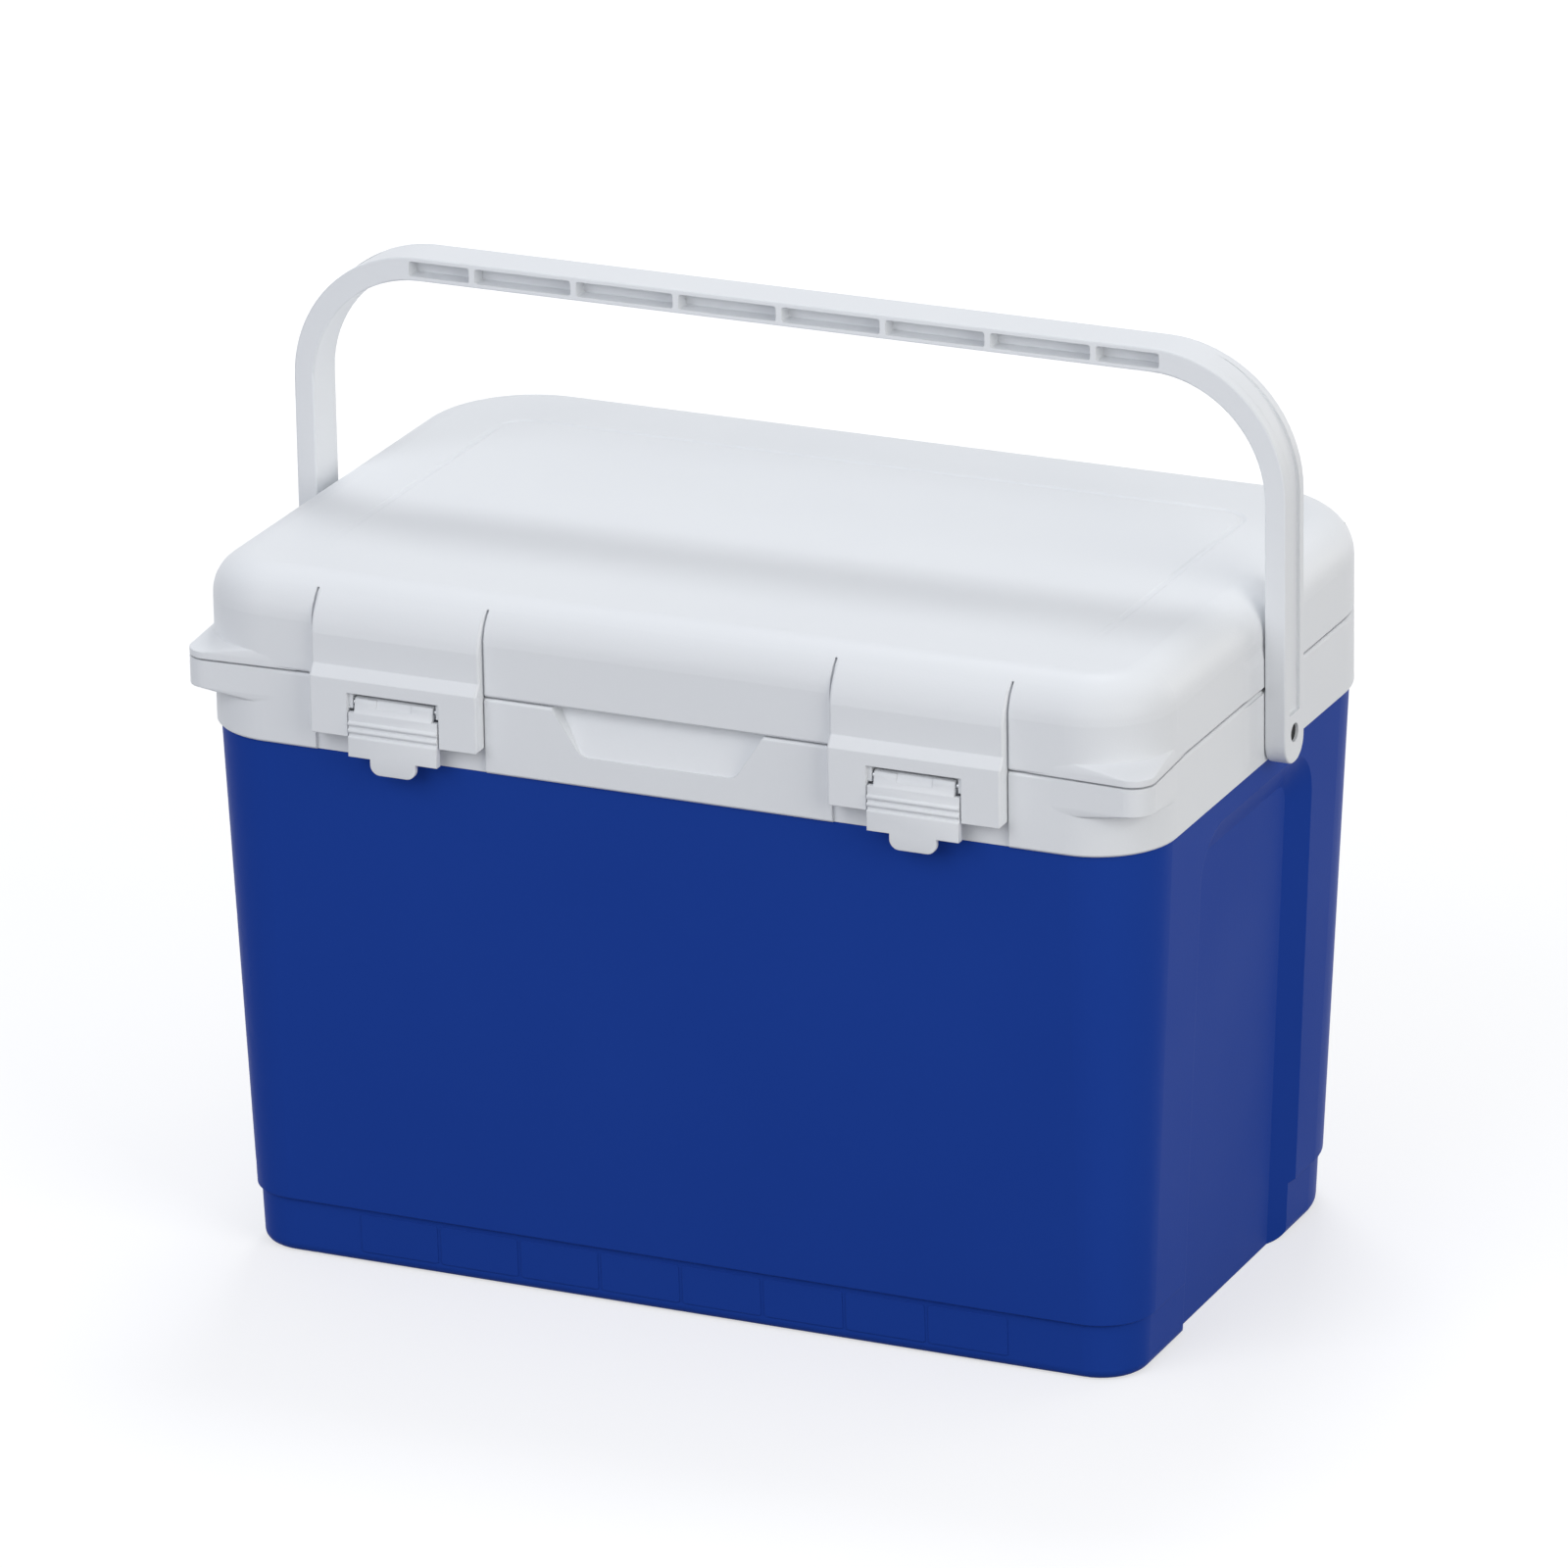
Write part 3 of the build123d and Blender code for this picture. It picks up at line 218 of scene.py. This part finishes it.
def moulded_plastic(name, color, shade, roughness, specular=SATIN_SPECULAR,
                    grain_depth=GRAIN_DEPTH):
    """Moulded plastic: an even dye with faint clouds, a fine grain and a slightly uneven gloss."""
    material, tree, output = new_material(name)
    place = add_node(tree, "ShaderNodeTexCoord").outputs["Object"]
    clouds = add_node(tree, "ShaderNodeTexNoise",
                      inputs={"Vector": place, "Scale": 1 / CLOUD_SIZE, "Detail": CLOUD_DETAIL})
    dye = add_node(tree, "ShaderNodeMix", {"data_type": "RGBA"},
                   {"Factor": clouds.outputs["Fac"], "A": linear(color), "B": linear(shade)})
    grain = add_node(tree, "ShaderNodeTexNoise",
                     inputs={"Vector": place, "Scale": 1 / GRAIN_SIZE, "Detail": GRAIN_DETAIL})
    gloss = add_node(tree, "ShaderNodeMapRange",
                     inputs={"Value": clouds.outputs["Fac"],
                             "From Min": CLOUD_LOW, "From Max": CLOUD_HIGH,
                             "To Min": roughness - GLOSS_SWING, "To Max": roughness + GLOSS_SWING})
    edges = add_node(tree, "ShaderNodeBevel", {"samples": EDGE_GLINT_SAMPLES},
                     {"Radius": EDGE_GLINT_RADIUS})
    bump = add_node(tree, "ShaderNodeBump",
                    inputs={"Strength": GRAIN_STRENGTH, "Distance": grain_depth,
                            "Height": grain.outputs["Fac"], "Normal": edges.outputs["Normal"]})
    plastic = add_node(tree, "ShaderNodeBsdfPrincipled",
                       inputs={"Base Color": dye.outputs["Result"],
                               "Roughness": gloss.outputs["Result"],
                               "IOR": POLYPROPYLENE_IOR, "Specular IOR Level": specular,
                               "Normal": bump.outputs["Normal"]})
    tree.links.new(plastic.outputs[0], output.inputs["Surface"])
    return material


def dress(material, *nodes):
    """Gives CAD nodes a finish."""
    for name in nodes:
        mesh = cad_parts[name].data
        mesh.materials.clear()
        mesh.materials.append(material)


blue_plastic = moulded_plastic("blue moulded polypropylene", TUB_BLUE, TUB_BLUE_DEEP, TUB_ROUGHNESS,
                               TUB_SPECULAR)
dress(blue_plastic, "outer_shell")

# ---------------------------------------------------------------------------------------------
# Base pads. Shallow raised panels moulded into the front and the back of the base band, with
# narrow gaps between them that read as faint upright lines. They are part of the tub.
# ---------------------------------------------------------------------------------------------
PAD_COUNT = 8
PAD_PITCH = 0.0345
PAD_WIDTH = 0.0332
PAD_HEIGHT = 0.0160
PAD_RISE = 0.0002
PAD_ROOT = 0.0006
PAD_CORNER = 0.0012
PAD_CORNER_STEPS = 4
PAD_WELD = 1e-6
PAD_MIDDLE_Z = 0.0130
BAND_FRONT_Y = 0.11524
BAND_SLOPE = math.radians(2.33)
UPRIGHT = math.radians(90)


def base_pads_tree():
    """Geometry Nodes tree: a row of thin rounded plates along X, stood up against a wall."""
    tree = bpy.data.node_groups.new("base_pads", "GeometryNodeTree")
    sockets = {}
    for name, kind in (("Count", "NodeSocketInt"), ("Pitch", "NodeSocketFloat"),
                       ("Width", "NodeSocketFloat"), ("Height", "NodeSocketFloat"),
                       ("Thickness", "NodeSocketFloat"),
                       ("Corner", "NodeSocketFloat"), ("Start", "NodeSocketVector"),
                       ("Turn", "NodeSocketVector"), ("Finish", "NodeSocketMaterial")):
        sockets[name] = tree.interface.new_socket(name, in_out="INPUT", socket_type=kind).identifier
    tree.interface.new_socket("Pads", in_out="OUTPUT", socket_type="NodeSocketGeometry")
    given = add_node(tree, "NodeGroupInput").outputs
    outline = add_node(tree, "GeometryNodeCurvePrimitiveQuadrilateral",
                       inputs={"Width": given["Width"], "Height": given["Height"]})
    rounded = add_node(tree, "GeometryNodeFilletCurve", {"mode": "POLY"},
                       {"Curve": outline.outputs["Curve"], "Radius": given["Corner"],
                        "Count": PAD_CORNER_STEPS})
    face = add_node(tree, "GeometryNodeFillCurve", {"mode": "NGONS"},
                    {"Curve": rounded.outputs["Curve"]})
    raised = add_node(tree, "GeometryNodeExtrudeMesh",
                      inputs={"Mesh": face.outputs["Mesh"], "Offset Scale": given["Thickness"]})
    under = add_node(tree, "GeometryNodeFlipFaces", inputs={"Mesh": face.outputs["Mesh"]})
    closed = add_node(tree, "GeometryNodeJoinGeometry")
    tree.links.new(raised.outputs["Mesh"], closed.inputs["Geometry"])
    tree.links.new(under.outputs["Mesh"], closed.inputs["Geometry"])
    plate = add_node(tree, "GeometryNodeMergeByDistance",
                     inputs={"Geometry": closed.outputs["Geometry"], "Distance": PAD_WELD})
    step = add_node(tree, "ShaderNodeCombineXYZ", inputs={"X": given["Pitch"]})
    row = add_node(tree, "GeometryNodeMeshLine",
                   inputs={"Count": given["Count"], "Start Location": given["Start"],
                           "Offset": step.outputs["Vector"]})
    turned = add_node(tree, "FunctionNodeEulerToRotation", inputs={"Euler": given["Turn"]})
    placed = add_node(tree, "GeometryNodeInstanceOnPoints",
                      inputs={"Points": row.outputs["Mesh"], "Instance": plate.outputs["Geometry"],
                              "Rotation": turned.outputs["Rotation"]})
    real = add_node(tree, "GeometryNodeRealizeInstances",
                    inputs={"Geometry": placed.outputs["Instances"]})
    finished = add_node(tree, "GeometryNodeSetMaterial",
                        inputs={"Geometry": real.outputs["Geometry"], "Material": given["Finish"]})
    result = add_node(tree, "NodeGroupOutput")
    tree.links.new(finished.outputs["Geometry"], result.inputs["Pads"])
    return tree, sockets


def base_pads(name, tree, sockets, side):
    """One row of pads on the band's wall; side is -1 for the front and 1 for the back."""
    base = bpy.data.objects.new(name, bpy.data.meshes.new(name))
    bpy.context.scene.collection.objects.link(base)
    modifier = base.modifiers.new("pads", "NODES")
    modifier.node_group = tree
    lean = UPRIGHT - side * BAND_SLOPE
    start_x = -(PAD_COUNT - 1) / 2 * PAD_PITCH
    settings = {"Count": PAD_COUNT, "Pitch": PAD_PITCH, "Width": PAD_WIDTH, "Height": PAD_HEIGHT,
                "Thickness": PAD_RISE + PAD_ROOT, "Corner": PAD_CORNER,
                "Start": (start_x, side * (BAND_FRONT_Y - PAD_ROOT), PAD_MIDDLE_Z),
                "Turn": (lean if side < 0 else -lean, 0.0, 0.0), "Finish": blue_plastic}
    for label, value in settings.items():
        modifier[sockets[label]] = value
    evaluated = base.evaluated_get(bpy.context.evaluated_depsgraph_get())
    mesh = bpy.data.meshes.new_from_object(evaluated)
    base.modifiers.remove(modifier)
    base.data = mesh
    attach(base, "carrier")


pads_tree, pads_sockets = base_pads_tree()
base_pads("base_pads_front", pads_tree, pads_sockets, -1)
base_pads("base_pads_back", pads_tree, pads_sockets, 1)

# ---------------------------------------------------------------------------------------------
# Insulation. Rigid polyurethane foam, poured between the walls and under the lid, cream
# coloured, with closed cells under a millimetre across that only show up close.
# ---------------------------------------------------------------------------------------------
FOAM_CREAM = "#E4D6A9"
FOAM_CREAM_DEEP = "#D3C18C"
FOAM_CELL = 0.0012
FOAM_CELL_DEPTH = 0.0003
FOAM_CELL_STRENGTH = 0.6
FOAM_ROUGHNESS = 0.95


def rigid_foam(name):
    """Foam: rounded cells drawn a little coarser than the real ones, dull all over."""
    material, tree, output = new_material(name)
    place = add_node(tree, "ShaderNodeTexCoord").outputs["Object"]
    cells = add_node(tree, "ShaderNodeTexVoronoi", inputs={"Vector": place, "Scale": 1 / FOAM_CELL})
    tint = add_node(tree, "ShaderNodeMix", {"data_type": "RGBA"},
                    {"Factor": cells.outputs["Distance"],
                     "A": linear(FOAM_CREAM_DEEP), "B": linear(FOAM_CREAM)})
    bump = add_node(tree, "ShaderNodeBump",
                    inputs={"Strength": FOAM_CELL_STRENGTH, "Distance": FOAM_CELL_DEPTH,
                            "Height": cells.outputs["Distance"]})
    foam = add_node(tree, "ShaderNodeBsdfPrincipled",
                    inputs={"Base Color": tint.outputs["Result"], "Roughness": FOAM_ROUGHNESS,
                            "Normal": bump.outputs["Normal"]})
    tree.links.new(foam.outputs[0], output.inputs["Surface"])
    return material


dress(rigid_foam("poured polyurethane foam"), "body_foam", "lid_foam")

# ---------------------------------------------------------------------------------------------
# Liner. White polyethylene, vacuum formed over a smooth mould, so it is glossier than the
# outside. Its flange lies in the collar's deck.
# ---------------------------------------------------------------------------------------------
LINER_WHITE = "#EDEFF0"
LINER_WHITE_SHADE = "#E8EBEC"
LINER_ROUGHNESS = 0.34
LINER_SPECULAR = 0.4
LINER_GRAIN_DEPTH = GRAIN_DEPTH / 2
liner_plastic = moulded_plastic("white formed polyethylene", LINER_WHITE, LINER_WHITE_SHADE,
                                LINER_ROUGHNESS, LINER_SPECULAR, LINER_GRAIN_DEPTH)
dress(liner_plastic, "inner_liner", "lid_liner")

# ---------------------------------------------------------------------------------------------
# Coolant packs. Flat bottles blow moulded from natural polyethylene, milky and a little blue
# with the water in them, soft at the edges. Each has a blue screw cap in a notched corner.
# ---------------------------------------------------------------------------------------------
PACK_MILKY = "#D4E3EC"
PACK_MILKY_DEEP = "#C2D6E3"
CAP_BLUE = "#1D57B8"
CAP_BLUE_DEEP = "#184DA8"
PACK_ROUGHNESS = 0.38
CAP_ROUGHNESS = 0.3
CAP_SPECULAR = 0.4
PACK_COUNT = 6
PACK_EDGE = 0.0025
CAP_EDGE = 0.0008
WELD_DISTANCE = 2e-6
SHARP_EDGE = math.radians(30)
EDGE_SEGMENTS = 3


def soft_edged(node, body, material, width):
    """Stands for a CAD node with a welded copy whose sharp edges are rounded as moulded."""
    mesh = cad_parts[node].data.copy()
    merged = bmesh.new()
    merged.from_mesh(mesh)
    bmesh.ops.remove_doubles(merged, verts=merged.verts, dist=WELD_DISTANCE)
    merged.to_mesh(mesh)
    merged.free()
    mesh.materials.clear()
    mesh.materials.append(material)
    mesh.shade_smooth()
    piece = bpy.data.objects.new(node + "_moulded", mesh)
    bpy.context.scene.collection.objects.link(piece)
    rounding = piece.modifiers.new("mould_radius", "BEVEL")
    rounding.width = width
    rounding.segments = EDGE_SEGMENTS
    rounding.limit_method = "ANGLE"
    rounding.angle_limit = SHARP_EDGE
    rounding.harden_normals = True
    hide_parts(node)
    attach(piece, body)


pack_plastic = moulded_plastic("milky blow-moulded polyethylene", PACK_MILKY, PACK_MILKY_DEEP,
                               PACK_ROUGHNESS)
cap_plastic = moulded_plastic("blue moulded polyethylene", CAP_BLUE, CAP_BLUE_DEEP,
                              CAP_ROUGHNESS, CAP_SPECULAR)
for pack_number in range(1, PACK_COUNT + 1):
    soft_edged(f"ice_pack_{pack_number}", "carrier", pack_plastic, PACK_EDGE)
    soft_edged(f"ice_pack_cap_{pack_number}", "carrier", cap_plastic, CAP_EDGE)

# ---------------------------------------------------------------------------------------------
# Collar and lid shell. The same polypropylene as the tub, undyed but for a white pigment, with
# the satin grain of the mould. The collar is pressed over the tub's neck, the lid hinges on it.
# ---------------------------------------------------------------------------------------------
WHITE = "#EAECEE"
WHITE_SHADE = "#E6E8EB"
WHITE_ROUGHNESS = 0.4
white_plastic = moulded_plastic("white moulded polypropylene", WHITE, WHITE_SHADE, WHITE_ROUGHNESS)
dress(white_plastic, "rim_collar", "lid_shell")

# ---------------------------------------------------------------------------------------------
# Gasket. An extruded ring of soft grey thermoplastic rubber, pressed into the lid's liner; it
# is dull and slightly dusty to the eye.
# ---------------------------------------------------------------------------------------------
GASKET_GREY = "#5A5D61"
GASKET_GREY_DEEP = "#4C4F53"
GASKET_ROUGHNESS = 0.75
GASKET_SPECULAR = 0.2
gasket_rubber = moulded_plastic("grey extruded rubber", GASKET_GREY, GASKET_GREY_DEEP,
                                GASKET_ROUGHNESS, GASKET_SPECULAR)
dress(gasket_rubber, "lid_gasket")

# ---------------------------------------------------------------------------------------------
# Bail. One white polypropylene moulding that turns on two pins, with crisp edges along the
# grip and the arms.
# ---------------------------------------------------------------------------------------------
dress(white_plastic, "bail_handle")

# ---------------------------------------------------------------------------------------------
# Levers. White polypropylene, moulded separately and snapped onto steel pins in the hoods; the
# mould leaves a small radius on every edge that a thumb meets.
# ---------------------------------------------------------------------------------------------
LEVER_EDGE = 0.00035
for lever_side in ("left", "right"):
    soft_edged("latch_lever_" + lever_side, "latch_" + lever_side, white_plastic,
               LEVER_EDGE)

# ---------------------------------------------------------------------------------------------
# Pins. Drawn stainless steel rod for the lid and the levers, with fine lines along it from the
# die, and black nylon for the bail.
# ---------------------------------------------------------------------------------------------
STEEL_GREY = "#C4C6C9"
STEEL_GREY_DEEP = "#ABAEB2"
DRAW_LINE = 0.0003
DRAW_LENGTH = 0.02
DRAW_DETAIL = 2.0
DRAW_DEPTH = 0.00002
DRAW_STRENGTH = 0.4
STEEL_ROUGHNESS = 0.3


def drawn_steel(name):
    """Drawn rod: bright metal with fine lines that run along X."""
    material, tree, output = new_material(name)
    place = add_node(tree, "ShaderNodeTexCoord").outputs["Object"]
    stretched = add_node(tree, "ShaderNodeMapping",
                         inputs={"Vector": place,
                                 "Scale": (1 / DRAW_LENGTH, 1 / DRAW_LINE, 1 / DRAW_LINE)})
    lines = add_node(tree, "ShaderNodeTexNoise",
                     inputs={"Vector": stretched.outputs["Vector"], "Scale": 1.0,
                             "Detail": DRAW_DETAIL})
    tint = add_node(tree, "ShaderNodeMix", {"data_type": "RGBA"},
                    {"Factor": lines.outputs["Fac"],
                     "A": linear(STEEL_GREY_DEEP), "B": linear(STEEL_GREY)})
    bump = add_node(tree, "ShaderNodeBump",
                    inputs={"Strength": DRAW_STRENGTH, "Distance": DRAW_DEPTH,
                            "Height": lines.outputs["Fac"]})
    steel = add_node(tree, "ShaderNodeBsdfPrincipled",
                     inputs={"Base Color": tint.outputs["Result"], "Metallic": 1.0,
                             "Roughness": STEEL_ROUGHNESS,
                             "Normal": bump.outputs["Normal"]})
    tree.links.new(steel.outputs[0], output.inputs["Surface"])
    return material


NYLON_BLACK = "#1B1B1D"
NYLON_BLACK_PALE = "#222224"
NYLON_ROUGHNESS = 0.4
dress(drawn_steel("drawn stainless steel"), "hinge_pin_left", "hinge_pin_right",
      "latch_pin_left", "latch_pin_right")
nylon = moulded_plastic("black moulded nylon", NYLON_BLACK, NYLON_BLACK_PALE, NYLON_ROUGHNESS)
dress(nylon, "bail_pivot_pin_left", "bail_pivot_pin_right")
